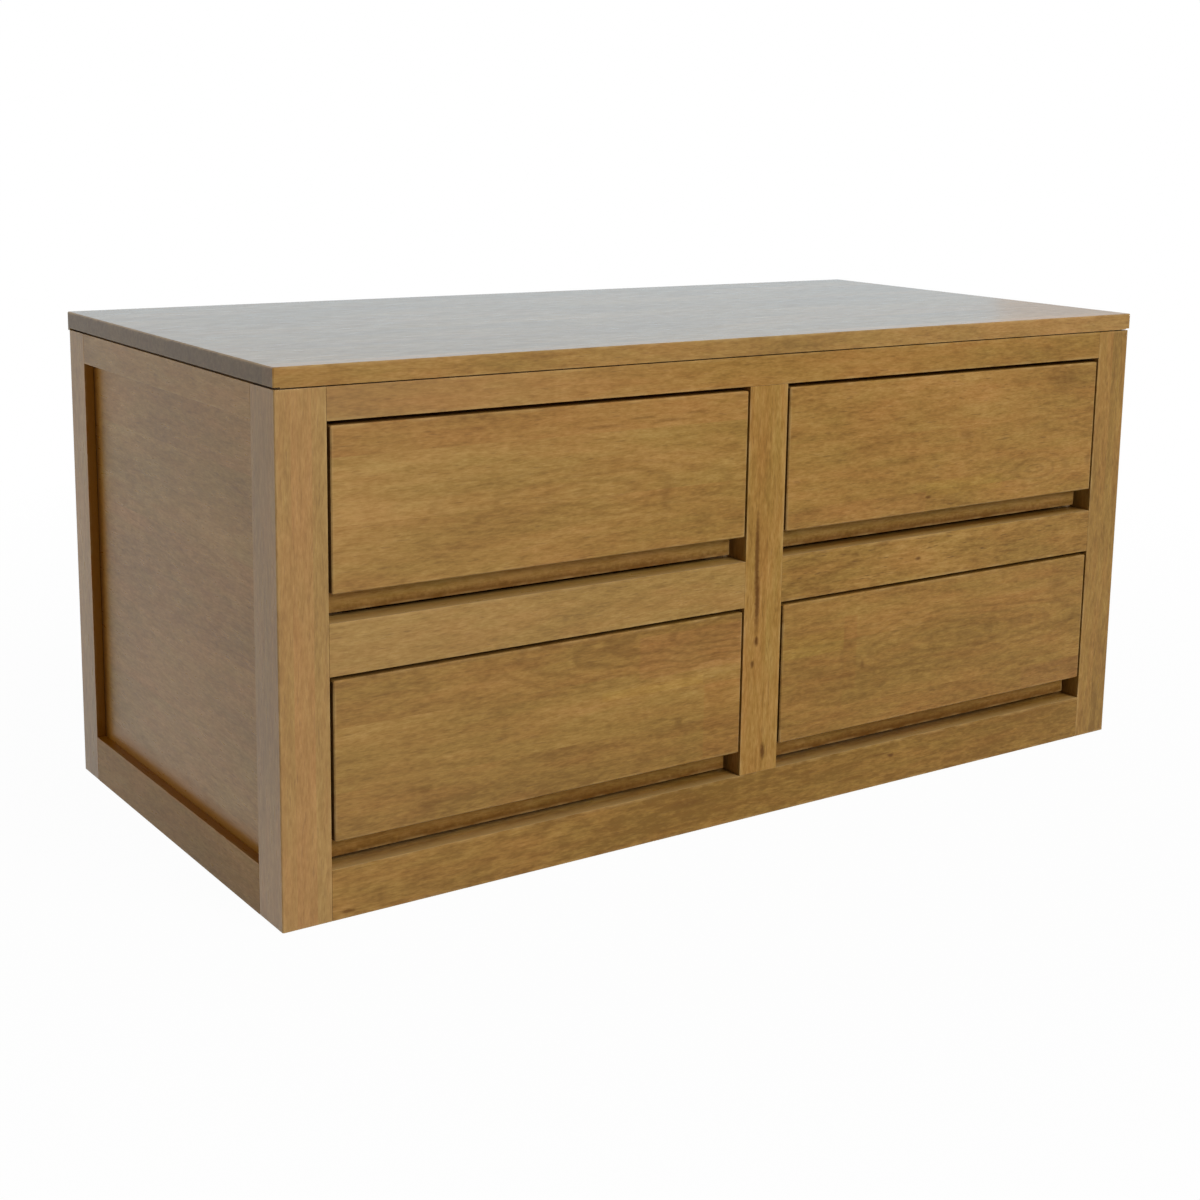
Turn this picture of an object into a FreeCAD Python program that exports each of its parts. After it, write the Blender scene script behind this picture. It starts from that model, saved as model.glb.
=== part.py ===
import FreeCAD, Part
import os

# A low chest of drawers in solid wood: a frame of posts and rails with panels in its sides and back,
# a top board, and four drawers that slide on wooden runners. Millimetres. The origin is on the floor,
# in the middle of the footprint; +X runs to the right, +Y to the back and +Z up.

doc = FreeCAD.newDocument("chest_of_drawers")

# Driving dimensions
SIZES = {
    "overall_width": 1000,  # over the top board
    "overall_depth": 480,  # over the top board
    "overall_height": 470,  # floor to the top face
    "top_thickness": 18,  # top board
    "top_overhang": 1,  # top board past the frame, all round
    "end_shadow_line": 2,  # gap under the ends of the top board
    "front_shadow_line": 1.2,  # gap under the front edge of the top board
    "shadow_line_depth": 5,  # shadow lines behind the frame's outer faces
    "edge_chamfer": 1,  # broken edges that hands meet
    "post_width": 45,  # corner posts, seen from the front
    "front_post_depth": 46,  # front posts, seen from the side
    "rear_post_depth": 40,  # rear posts, seen from the side
    "front_rail_thickness": 28,  # front rails and centre stile
    "top_rail_height": 28,  # front and back top rails
    "mid_rail_height": 45,  # front rails between the drawers
    "bottom_rail_height": 45,  # front and back bottom rails
    "stile_width": 45,  # centre stiles
    "side_rail_thickness": 22,  # rails of the side frames
    "side_top_rail_height": 29,  # top rails of the side frames
    "side_bottom_rail_height": 45,  # bottom rails of the side frames
    "side_panel_thickness": 8,  # flat panel in each side
    "side_panel_setback": 9,  # side panel behind the frame's outer face
    "back_rail_thickness": 22,  # back rails and back stile
    "back_panel_thickness": 6,  # thin panels in the back
    "back_panel_setback": 8,  # back panels behind the frame's rear face
    "groove_depth": 8,  # panel grooves
    "panel_play": 1,  # room for a panel to swell in its groove
    "tenon_length": 18,  # rails into posts
    "stub_tenon_length": 12,  # joints at the stiles
    "tenon_thickness": 9,  # all tenons
    "tenon_shoulder": 8,  # shoulder above and below a tenon
    "mortise_allowance": 1,  # mortise deeper than its tenon
    "lower_runner_height": 25,  # bearing part of the lower runners
    "guide_height": 20,  # guide above the bearing part
    "guide_gap": 0.8,  # drawer side to guide
    "runner_reach": 6,  # runner past the inner face of the drawer side
    "runner_stop_length": 18,  # stop left standing at the runner's rear end
    "stop_gap": 0.5,  # closed drawer to stop
    "running_gap": 0.3,  # drawer side above its runner
    "front_thickness": 18,  # drawer fronts
    "front_left_gap": 3.2,  # drawer front to the post or stile at its left
    "front_right_gap": 1.8,  # drawer front to the post or stile at its right
    "front_top_gap": 4,  # drawer front to the rail above
    "finger_gap": 24,  # drawer front to the rail below
    "box_front_thickness": 16,  # front board of the drawer box
    "box_front_lift": 4,  # front board of the drawer box above the rail
    "box_side_gap": 6,  # drawer box to post or stile
    "box_side_thickness": 14,  # drawer sides
    "box_back_thickness": 14,  # drawer backs
    "box_back_inset": 12,  # drawer back to the rear end of the sides
    "housing_depth": 5,  # drawer back let into the sides
    "bottom_thickness": 6,  # drawer bottoms
    "bottom_lift": 14,  # drawer bottom above the lower edge of the sides
    "bottom_groove_depth": 6,  # drawer bottom let into sides and box front
    "bottom_play": 0.5,  # room round the drawer bottom in its groove
    "dovetail_lap": 5,  # wood left in front of the tails
    "tail_count": 4,  # tails on each drawer side
    "tail_width": 22,  # tail at its root
    "tail_flare": 2,  # tail wider at its tip, on each edge
    "screw_diameter": 4,  # all screws
    "screw_head_diameter": 8,  # countersunk heads
    "screw_head_height": 2.4,  # countersunk heads
    "screw_hole_allowance": 1,  # hole deeper than its screw
    "recess_length": 4.6,  # each slot of the cross recess
    "recess_width": 1.3,  # each slot of the cross recess
    "recess_depth": 1.5,  # cross recess
    "front_screw_bite": 13,  # screws into the drawer front
    "front_screw_end": 70,  # screws to the end of the box front
    "top_screw_bite": 12,  # screws into the top board
    "top_screw_edge": 12,  # screws to the inner edge of a kicker
    "top_screw_end": 60,  # screws to the ends of a kicker
}

# Places that follow from the driving dimensions
PLACES = {
    "half_width": "=Sizes.overall_width / 2 - Sizes.top_overhang",  # frame
    "half_depth": "=Sizes.overall_depth / 2 - Sizes.top_overhang",  # frame
    "frame_height": "=Sizes.overall_height - Sizes.top_thickness",  # under the top board
    "post_inner": "=half_width - Sizes.post_width",  # middle plane to the posts
    "stile_half": "=Sizes.stile_width / 2",  # middle plane to the stile's edge
    "opening_width": "=post_inner - stile_half",  # drawer opening
    "rail_heights": "=Sizes.top_rail_height + Sizes.mid_rail_height + Sizes.bottom_rail_height",  # front
    "opening_height": "=(frame_height - rail_heights) / 2",  # drawer opening
    "mid_rail_z": "=Sizes.bottom_rail_height + opening_height",  # lower edge of the mid rails
    "upper_opening_z": "=mid_rail_z + Sizes.mid_rail_height",  # floor of the upper openings
    "top_rail_z": "=frame_height - Sizes.top_rail_height",  # lower edge of the top rails
    "front_rail_back": "=Sizes.front_rail_thickness - half_depth",  # rear face of the front rails
    "front_post_back": "=Sizes.front_post_depth - half_depth",  # rear face of the front posts
    "rear_post_front": "=half_depth - Sizes.rear_post_depth",  # front face of the rear posts
    "side_rail_length": "=rear_post_front - front_post_back",  # between the posts
    "back_frame_front": "=half_depth - Sizes.back_rail_thickness",  # front face of the back rails
    "runner_length": "=back_frame_front - front_rail_back",  # between front and back rails
    "side_rail_inner": "=half_width - Sizes.side_rail_thickness",  # middle plane to the side rails
    "side_top_rail_z": "=frame_height - Sizes.side_top_rail_height",  # lower edge of the side top rails
    "front_tenon_y": "=(Sizes.front_rail_thickness - Sizes.tenon_thickness) / 2 - half_depth",  # front
    "back_tenon_y": "=back_frame_front + (Sizes.back_rail_thickness - Sizes.tenon_thickness) / 2",  # back
    "side_tenon_x": "=(Sizes.side_rail_thickness - Sizes.tenon_thickness) / 2 - half_width",  # left side
    "stile_tenon_width": "=Sizes.stile_width - 2 * Sizes.tenon_shoulder",  # tenons of the stiles
    "side_panel_x": "=Sizes.side_panel_setback - half_width",  # outer face of the left panel
    "side_groove_z": "=Sizes.side_bottom_rail_height - Sizes.groove_depth",  # side panel grooves
    "side_groove_height": "=side_top_rail_z + Sizes.groove_depth - side_groove_z",  # side panel grooves
    "back_panel_y": "=half_depth - Sizes.back_panel_setback - Sizes.back_panel_thickness",  # front face
    "back_groove_z": "=Sizes.bottom_rail_height - Sizes.groove_depth",  # back panel grooves
    "back_groove_height": "=top_rail_z + Sizes.groove_depth - back_groove_z",  # back panel grooves
    "drawer_side_outer": "=post_inner - Sizes.box_side_gap",  # middle plane to the outer drawer sides
    "guide_face": "=drawer_side_outer + Sizes.guide_gap",  # middle plane to the outer guides
    "runner_edge": "=drawer_side_outer - Sizes.box_side_thickness - Sizes.runner_reach",  # outer runners
    "centre_guide_half": "=stile_half + Sizes.box_side_gap - Sizes.guide_gap",  # centre runners
    "drawer_side_inner": "=stile_half + Sizes.box_side_gap + Sizes.box_side_thickness",  # at the stile
    "centre_runner_half": "=drawer_side_inner + Sizes.runner_reach",  # centre runners
    "rebate_length": "=runner_length - Sizes.runner_stop_length",  # path of the drawer side on its runner
    "top_screw_x": "=runner_edge + Sizes.top_screw_edge",  # middle plane to the screws of the top
    "top_screw_span": "=runner_length - 2 * Sizes.top_screw_end",  # first to last screw of a kicker
    "top_screw_length": "=Sizes.top_rail_height + Sizes.top_screw_bite",  # through the kicker
    "front_height": "=opening_height - Sizes.finger_gap - Sizes.front_top_gap",  # drawer front
    "box_top": "=opening_height - Sizes.front_top_gap",  # top edge of the drawer box
    "box_width": "=opening_width - 2 * Sizes.box_side_gap",  # drawer box
    "box_shoulder": "=Sizes.front_thickness + Sizes.box_front_thickness",  # rear face of the box front
    "box_rear": "=rebate_length + Sizes.front_rail_thickness - Sizes.stop_gap",  # rear end of the sides
    "right_side_x": "=Sizes.box_side_gap + box_width - Sizes.box_side_thickness",  # right drawer side
    "inner_width": "=box_width - 2 * Sizes.box_side_thickness",  # between the drawer sides
    "inner_x": "=Sizes.box_side_gap + Sizes.box_side_thickness",  # inner face of the left drawer side
    "bottom_z": "=Sizes.running_gap + Sizes.bottom_lift",  # lower face of the drawer bottom
    "bottom_top": "=bottom_z + Sizes.bottom_thickness",  # upper face of the drawer bottom
    "box_back_y": "=box_rear - Sizes.box_back_inset - Sizes.box_back_thickness",  # drawer back
    "tail_tip": "=Sizes.front_thickness + Sizes.dovetail_lap",  # front end of the tails
    "tail_length": "=Sizes.box_front_thickness - Sizes.dovetail_lap",  # tails
    "tail_pitch": "=(box_top - Sizes.box_front_lift) / Sizes.tail_count",  # one tail to the next
    "first_tail_z": "=Sizes.box_front_lift + tail_pitch / 2",  # middle of the lowest tail
    "front_screw_x": "=Sizes.box_side_gap + Sizes.front_screw_end",  # left screw
    "front_screw_z": "=Sizes.finger_gap + front_height / 2",  # half way up the drawer front
    "front_screw_width": "=box_width - 2 * Sizes.front_screw_end",  # left to right screw
    "front_screw_length": "=Sizes.box_front_thickness + Sizes.front_screw_bite",  # through the box front
}


def make_sheet(name, values):
    """Write a sheet with one value per row, under its name as alias."""
    sheet = doc.addObject("Spreadsheet::Sheet", name)
    for row, (alias, value) in enumerate(values.items(), start=1):
        sheet.set(f"A{row}", alias)
        sheet.set(f"B{row}", str(value))
        sheet.setAlias(f"B{row}", alias)
    doc.recompute()
    return sheet


make_sheet("Sizes", SIZES)
places = make_sheet("Places", PLACES)


def place(item, corner):
    """Bind where an item stands."""
    for axis, distance in zip("xyz", corner):
        item.setExpression(f"Placement.Base.{axis}", distance)


def add_block(body, kind, name, corner, size):
    """Add a rectangular block to a body (Additive) or cut one from it (Subtractive)."""
    block = body.newObject(f"PartDesign::{kind}Box", name)
    for side, length in zip(("Length", "Width", "Height"), size):
        block.setExpression(side, length)
    place(block, corner)
    return block


def make_body(label):
    """Start an empty piece."""
    body = doc.addObject("PartDesign::Body", label)
    body.Label = label
    return body


def make_board(label, corner, size):
    """Start a piece from a planed board."""
    body = make_body(label)
    add_block(body, "Additive", "Blank", corner, size)
    return body


def across(corner, size):
    """The corner of the same block on the other side of the middle plane."""
    return (f"-({corner[0]}) - ({size[0]})", corner[1], corner[2])


# For each way a tenon can point: its axis, and whether the tip is at the low end of that axis
DIRECTIONS = {
    "left": (0, True),
    "right": (0, False),
    "front": (1, True),
    "rear": (1, False),
    "down": (2, True),
    "up": (2, False),
}


def cut_mortise(body, corner, size, towards):
    """Cut the hole for a tenon, a little deeper than the tenon is long."""
    axis, tip_is_low = DIRECTIONS[towards]
    hole_corner = list(corner)
    hole_size = list(size)
    hole_size[axis] += " + Sizes.mortise_allowance"
    if tip_is_low:
        hole_corner[axis] += " - Sizes.mortise_allowance"
    add_block(body, "Subtractive", "Mortise", hole_corner, hole_size)


def join(rail, post, corner, size, towards):
    """Join two pieces by one block: a tenon on the first and its mortise in the second."""
    add_block(rail, "Additive", "Tenon", corner, size)
    cut_mortise(post, corner, size, towards)


def break_edges(body, chosen=lambda edge: True):
    """Chamfer the edges of a piece that the test picks, or all of them."""
    doc.recompute()
    base = body.Tip
    chamfer = body.newObject("PartDesign::Chamfer", "BrokenEdges")
    chamfer.Base = (base, [f"Edge{n}" for n, edge in enumerate(base.Shape.Edges, start=1) if chosen(edge)])
    chamfer.setExpression("Size", "Sizes.edge_chamfer")


def add_pattern(body, features, *directions):
    """Repeat features along one or two axes, each given as axis, whole length and count."""
    pattern = body.newObject("PartDesign::LinearPattern", "Row")
    pattern.Originals = features
    axes = {feature.Role: feature for feature in body.Origin.OriginFeatures}
    for suffix, (axis, length, count) in zip(("", "2"), directions):
        setattr(pattern, f"Direction{suffix}", (axes[axis], [""]))
        pattern.setExpression(f"Length{suffix}", length)
        pattern.setExpression(f"Occurrences{suffix}", count)
    body.Tip = pattern


# The two ways that a screw points: up, or level to the front
upright = FreeCAD.Rotation()
level = FreeCAD.Rotation(FreeCAD.Vector(1, 0, 0), 90)


def add_shank(body, kind, corner, turn, length):
    """Add the shank of a screw to a body, or cut the hole for it."""
    shank = body.newObject(f"PartDesign::{kind}Cylinder", "Shank")
    shank.setExpression("Radius", "Sizes.screw_diameter / 2")
    shank.setExpression("Height", length)
    shank.Placement = FreeCAD.Placement(FreeCAD.Vector(), turn)
    place(shank, corner)
    return shank


def add_head(body, kind, corner, turn):
    """Add the countersunk head of a screw to a body, or cut its seat."""
    head = body.newObject(f"PartDesign::{kind}Cone", "Head")
    head.setExpression("Radius1", "Sizes.screw_head_diameter / 2")
    head.setExpression("Radius2", "Sizes.screw_diameter / 2")
    head.setExpression("Height", "Sizes.screw_head_height")
    head.Placement = FreeCAD.Placement(FreeCAD.Vector(), turn)
    place(head, corner)
    return head


def add_screw(body, corner, turn, length):
    """Add a screw to its group: a countersunk head, a shank, and the two slots of a cross recess."""
    add_head(body, "Additive", corner, turn)
    add_shank(body, "Additive", corner, turn, length)
    x, y, z = corner
    depth = "Sizes.recess_depth"
    for span, width in (
            ("Sizes.recess_length", "Sizes.recess_width"),
            ("Sizes.recess_width", "Sizes.recess_length")):
        if turn is level:
            slot_corner = (f"{x} - {span} / 2", f"{y} - {depth}", f"{z} - {width} / 2")
            slot_size = (span, depth, width)
        else:
            slot_corner = (f"{x} - {span} / 2", f"{y} - {width} / 2", z)
            slot_size = (span, width, depth)
        add_block(body, "Subtractive", "Recess", slot_corner, slot_size)


def mirror_piece(left_piece, label):
    """The right-hand twin of a left-hand piece."""
    twin = doc.addObject("Part::Mirroring", label)
    twin.Label = label
    twin.Source = left_piece
    twin.Normal = FreeCAD.Vector(1, 0, 0)
    return twin


# Posts: full height, floor to top board, with the edges at the chest's outer corners broken
front_left_post = make_board(
    "front_left_post",
    ("-Places.half_width", "-Places.half_depth", "0"),
    ("Sizes.post_width", "Sizes.front_post_depth", "Places.frame_height"))
rear_left_post = make_board(
    "rear_left_post",
    ("-Places.half_width", "Places.rear_post_front", "0"),
    ("Sizes.post_width", "Sizes.rear_post_depth", "Places.frame_height"))


same_place = 0.001


def is_outer_corner(edge):
    """True for the upright edge that lies on a corner of the frame's footprint."""
    return all(
        abs(abs(end.X) - places.half_width) < same_place and abs(abs(end.Y) - places.half_depth) < same_place
        for end in edge.Vertexes)


for post in (front_left_post, rear_left_post):
    break_edges(post, is_outer_corner)

# Front frame: top and bottom rails between the posts, a centre stile, and a mid rail on each side of it
rail_span = ("2 * Places.post_inner", "Sizes.front_rail_thickness")
front_top_rail = make_board(
    "front_top_rail",
    ("-Places.post_inner", "-Places.half_depth", "Places.top_rail_z"),
    rail_span + ("Sizes.top_rail_height",))
front_bottom_rail = make_board(
    "front_bottom_rail",
    ("-Places.post_inner", "-Places.half_depth", "0"),
    rail_span + ("Sizes.bottom_rail_height",))
centre_stile = make_board(
    "centre_stile",
    ("-Places.stile_half", "-Places.half_depth", "Sizes.bottom_rail_height"),
    ("Sizes.stile_width", "Sizes.front_rail_thickness", "Places.top_rail_z - Sizes.bottom_rail_height"))
left_mid_rail = make_board(
    "left_mid_rail",
    ("-Places.post_inner", "-Places.half_depth", "Places.mid_rail_z"),
    ("Places.opening_width", "Sizes.front_rail_thickness", "Sizes.mid_rail_height"))

# Back frame: the same rails and stile, thinner, with thin panels in grooves
back_span = ("2 * Places.post_inner", "Sizes.back_rail_thickness")
back_top_rail = make_board(
    "back_top_rail",
    ("-Places.post_inner", "Places.back_frame_front", "Places.top_rail_z"),
    back_span + ("Sizes.top_rail_height",))
back_bottom_rail = make_board(
    "back_bottom_rail",
    ("-Places.post_inner", "Places.back_frame_front", "0"),
    back_span + ("Sizes.bottom_rail_height",))
back_stile = make_board(
    "back_stile",
    ("-Places.stile_half", "Places.back_frame_front", "Sizes.bottom_rail_height"),
    ("Sizes.stile_width", "Sizes.back_rail_thickness", "Places.top_rail_z - Sizes.bottom_rail_height"))

# Joints of the long rails: each has a tenon at both ends, in a mortise of its post
top_rail_reach = ("Places.top_rail_z", "Sizes.top_rail_height")
bottom_rail_reach = ("0", "Sizes.bottom_rail_height")
for rail, post, tenon_y, (rail_z, rail_height) in (
        (front_top_rail, front_left_post, "Places.front_tenon_y", top_rail_reach),
        (front_bottom_rail, front_left_post, "Places.front_tenon_y", bottom_rail_reach),
        (back_top_rail, rear_left_post, "Places.back_tenon_y", top_rail_reach),
        (back_bottom_rail, rear_left_post, "Places.back_tenon_y", bottom_rail_reach)):
    tenon_corner = ("-Places.post_inner - Sizes.tenon_length", tenon_y, f"{rail_z} + Sizes.tenon_shoulder")
    tenon_size = ("Sizes.tenon_length", "Sizes.tenon_thickness", f"{rail_height} - 2 * Sizes.tenon_shoulder")
    join(rail, post, tenon_corner, tenon_size, "left")
    add_block(rail, "Additive", "Tenon", across(tenon_corner, tenon_size), tenon_size)

# Joints of the stiles: a stub tenon up into the top rail and one down into the bottom rail
for stile, top_rail, bottom_rail, tenon_y in (
        (centre_stile, front_top_rail, front_bottom_rail, "Places.front_tenon_y"),
        (back_stile, back_top_rail, back_bottom_rail, "Places.back_tenon_y")):
    tenon_x = "-Places.stile_tenon_width / 2"
    tenon_size = ("Places.stile_tenon_width", "Sizes.tenon_thickness", "Sizes.stub_tenon_length")
    lower_z = "Sizes.bottom_rail_height - Sizes.stub_tenon_length"
    join(stile, top_rail, (tenon_x, tenon_y, "Places.top_rail_z"), tenon_size, "up")
    join(stile, bottom_rail, (tenon_x, tenon_y, lower_z), tenon_size, "down")

# Joints of the mid rails: a tenon in the post and a stub tenon in the stile
mid_tenon_z = "Places.mid_rail_z + Sizes.tenon_shoulder"
mid_tenon_section = ("Sizes.tenon_thickness", "Sizes.mid_rail_height - 2 * Sizes.tenon_shoulder")
join(
    left_mid_rail, front_left_post,
    ("-Places.post_inner - Sizes.tenon_length", "Places.front_tenon_y", mid_tenon_z),
    ("Sizes.tenon_length",) + mid_tenon_section, "left")
stub_corner = ("-Places.stile_half", "Places.front_tenon_y", mid_tenon_z)
stub_size = ("Sizes.stub_tenon_length",) + mid_tenon_section
join(left_mid_rail, centre_stile, stub_corner, stub_size, "right")
cut_mortise(centre_stile, across(stub_corner, stub_size), stub_size, "left")

# Side frame: a top and a bottom rail between the posts, and a flat panel in grooves all round
left_side_top_rail = make_board(
    "left_side_top_rail",
    ("-Places.half_width", "Places.front_post_back", "Places.side_top_rail_z"),
    ("Sizes.side_rail_thickness", "Places.side_rail_length", "Sizes.side_top_rail_height"))
left_side_bottom_rail = make_board(
    "left_side_bottom_rail",
    ("-Places.half_width", "Places.front_post_back", "0"),
    ("Sizes.side_rail_thickness", "Places.side_rail_length", "Sizes.side_bottom_rail_height"))
for rail, tenon_z, tenon_height in (
        (left_side_top_rail, "Places.side_top_rail_z + Sizes.groove_depth",
         "Sizes.side_top_rail_height - Sizes.groove_depth - Sizes.tenon_shoulder"),
        (left_side_bottom_rail, "Sizes.tenon_shoulder",
         "Sizes.side_bottom_rail_height - Sizes.groove_depth - Sizes.tenon_shoulder")):
    tenon_size = ("Sizes.tenon_thickness", "Sizes.tenon_length", tenon_height)
    front_tenon_end = "Places.front_post_back - Sizes.tenon_length"
    join(rail, front_left_post, ("Places.side_tenon_x", front_tenon_end, tenon_z), tenon_size, "front")
    join(rail, rear_left_post, ("Places.side_tenon_x", "Places.rear_post_front", tenon_z), tenon_size, "rear")
for rail, groove_z in (
        (left_side_top_rail, "Places.side_top_rail_z"),
        (left_side_bottom_rail, "Places.side_groove_z")):
    add_block(
        rail, "Subtractive", "Groove",
        ("Places.side_panel_x", "Places.front_post_back", groove_z),
        ("Sizes.side_panel_thickness", "Places.side_rail_length", "Sizes.groove_depth"))
for post, groove_y in (
        (front_left_post, "Places.front_post_back - Sizes.groove_depth"),
        (rear_left_post, "Places.rear_post_front")):
    add_block(
        post, "Subtractive", "Groove",
        ("Places.side_panel_x", groove_y, "Places.side_groove_z"),
        ("Sizes.side_panel_thickness", "Sizes.groove_depth", "Places.side_groove_height"))
left_side_panel = make_board(
    "left_side_panel",
    ("Places.side_panel_x",
     "Places.front_post_back - Sizes.groove_depth + Sizes.panel_play",
     "Places.side_groove_z + Sizes.panel_play"),
    ("Sizes.side_panel_thickness",
     "Places.side_rail_length + 2 * Sizes.groove_depth - 2 * Sizes.panel_play",
     "Places.side_groove_height - 2 * Sizes.panel_play"))

# Back panels: one on each side of the back stile, in grooves all round
for rail, groove_z in (
        (back_top_rail, "Places.top_rail_z"),
        (back_bottom_rail, "Places.back_groove_z")):
    add_block(
        rail, "Subtractive", "Groove",
        ("-Places.post_inner", "Places.back_panel_y", groove_z),
        ("2 * Places.post_inner", "Sizes.back_panel_thickness", "Sizes.groove_depth"))
add_block(
    rear_left_post, "Subtractive", "Groove",
    ("-Places.post_inner - Sizes.groove_depth", "Places.back_panel_y", "Places.back_groove_z"),
    ("Sizes.groove_depth", "Sizes.back_panel_thickness", "Places.back_groove_height"))
stile_groove_corner = ("-Places.stile_half", "Places.back_panel_y", "Sizes.bottom_rail_height")
stile_groove_size = (
    "Sizes.groove_depth", "Sizes.back_panel_thickness", "Places.top_rail_z - Sizes.bottom_rail_height")
add_block(back_stile, "Subtractive", "Groove", stile_groove_corner, stile_groove_size)
add_block(
    back_stile, "Subtractive", "Groove", across(stile_groove_corner, stile_groove_size), stile_groove_size)
left_back_panel = make_board(
    "left_back_panel",
    ("-Places.post_inner - Sizes.groove_depth + Sizes.panel_play",
     "Places.back_panel_y",
     "Places.back_groove_z + Sizes.panel_play"),
    ("Places.opening_width + 2 * Sizes.groove_depth - 2 * Sizes.panel_play",
     "Sizes.back_panel_thickness",
     "Places.back_groove_height - 2 * Sizes.panel_play"))


def notch_for_posts(body, bottom_z, height):
    """Notch the outer corners of a runner or kicker round the front and rear posts."""
    notch_width = "Places.side_rail_inner - Places.post_inner"
    for start_y, length in (
            ("Places.front_rail_back", "Places.front_post_back - Places.front_rail_back"),
            ("Places.rear_post_front", "Places.back_frame_front - Places.rear_post_front")):
        add_block(
            body, "Subtractive", "Notch",
            ("-Places.side_rail_inner", start_y, bottom_z),
            (notch_width, length, height))


def cut_rebate(body, start_x, width, bearing_z):
    """Cut the drawer side's path, which stops short of the runner's rear end."""
    add_block(
        body, "Subtractive", "Rebate",
        (start_x, "Places.front_rail_back", bearing_z),
        (width, "Places.rebate_length", "Sizes.guide_height"))


# Runners: one at each side of the case and one behind the stile, in both rows. The bearing face is level
# with the rail in front. The upper ones are as deep as the mid rail, so that they also keep the drawers
# below them level.
outer_runners = []
centre_runners = []
for row, bottom_z, bearing_height in (
        ("lower", "Sizes.bottom_rail_height - Sizes.lower_runner_height", "Sizes.lower_runner_height"),
        ("upper", "Places.mid_rail_z", "Sizes.mid_rail_height")):
    blank_height = f"{bearing_height} + Sizes.guide_height"
    bearing_z = f"{bottom_z} + {bearing_height}"
    outer = make_board(
        f"left_{row}_runner",
        ("-Places.side_rail_inner", "Places.front_rail_back", bottom_z),
        ("Places.side_rail_inner - Places.runner_edge", "Places.runner_length", blank_height))
    notch_for_posts(outer, bottom_z, blank_height)
    cut_rebate(outer, "-Places.guide_face", "Places.guide_face - Places.runner_edge", bearing_z)
    outer_runners.append(outer)
    centre = make_board(
        f"centre_{row}_runner",
        ("-Places.centre_runner_half", "Places.front_rail_back", bottom_z),
        ("2 * Places.centre_runner_half", "Places.runner_length", blank_height))
    rebate_width = "Places.centre_runner_half - Places.centre_guide_half"
    cut_rebate(centre, "-Places.centre_runner_half", rebate_width, bearing_z)
    cut_rebate(centre, "Places.centre_guide_half", rebate_width, bearing_z)
    centre_runners.append(centre)

# Kickers: under the top board, level with the top rail, where they keep the upper drawers level
left_kicker = make_board(
    "left_kicker",
    ("-Places.side_rail_inner", "Places.front_rail_back", "Places.top_rail_z"),
    ("Places.side_rail_inner - Places.runner_edge", "Places.runner_length", "Sizes.top_rail_height"))
notch_for_posts(left_kicker, "Places.top_rail_z", "Sizes.top_rail_height")
centre_kicker = make_board(
    "centre_kicker",
    ("-Places.centre_runner_half", "Places.front_rail_back", "Places.top_rail_z"),
    ("2 * Places.centre_runner_half", "Places.runner_length", "Sizes.top_rail_height"))

# Holes in the outer kickers for the screws that hold the top, near the front and near the rear end
screw_y = "Places.front_rail_back + Sizes.top_screw_end"
screw_start = ("-Places.top_screw_x", screw_y, "Places.top_rail_z")
along_kicker = ("Y_Axis", "Places.top_screw_span", "2")
seat = add_head(left_kicker, "Subtractive", screw_start, upright)
bore = add_shank(left_kicker, "Subtractive", screw_start, upright, "Sizes.top_rail_height")
add_pattern(left_kicker, [seat, bore], along_kicker)

# Top board with its upper edges and its corners broken. Its rim is relieved from below, which leaves a
# shadow line over the frame: a wide one under each end, up to the rear land, and a fine one along the front.
top_corner = ("-Sizes.overall_width / 2", "-Sizes.overall_depth / 2", "Places.frame_height")
top_panel = make_board(
    "top_panel", top_corner, ("Sizes.overall_width", "Sizes.overall_depth", "Sizes.top_thickness"))
break_edges(top_panel, lambda edge: edge.CenterOfMass.z > places.frame_height + same_place)
rim = "Sizes.top_overhang + Sizes.shadow_line_depth"
end_relief = (rim, f"Sizes.overall_depth - ({rim})", "Sizes.end_shadow_line")
front_relief = ("Sizes.overall_width", rim, "Sizes.front_shadow_line")
for corner, relief in (
        (top_corner, end_relief),
        (across(top_corner, end_relief), end_relief),
        (top_corner, front_relief)):
    add_block(top_panel, "Subtractive", "ShadowLine", corner, relief)

# Blind holes in the top board for its screws, and the screws as one group
left_to_right = ("X_Axis", "2 * Places.top_screw_x", "2")
hole_start = ("-Places.top_screw_x", screw_y, "Places.frame_height")
hole_depth = "Sizes.top_screw_bite + Sizes.screw_hole_allowance"
blind_hole = add_shank(top_panel, "Subtractive", hole_start, upright, hole_depth)
add_pattern(top_panel, [blind_hole], left_to_right, along_kicker)
top_screws = make_body("top_screws")
for screw_x in ("-Places.top_screw_x", "Places.top_screw_x"):
    for row_y in (screw_y, f"{screw_y} + Places.top_screw_span"):
        add_screw(top_screws, (screw_x, row_y, "Places.top_rail_z"), upright, "Places.top_screw_length")

# The case: the pieces above and the right-hand twins of the left-hand ones
left_pieces = [
    front_left_post, rear_left_post, left_mid_rail, left_side_top_rail, left_side_bottom_rail,
    left_side_panel, left_back_panel, left_kicker] + outer_runners
right_pieces = [mirror_piece(piece, piece.Label.replace("left", "right")) for piece in left_pieces]
middle_pieces = [
    top_panel, top_screws, front_top_rail, front_bottom_rail, centre_stile,
    back_top_rail, back_bottom_rail, back_stile, centre_kicker] + centre_runners


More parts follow.
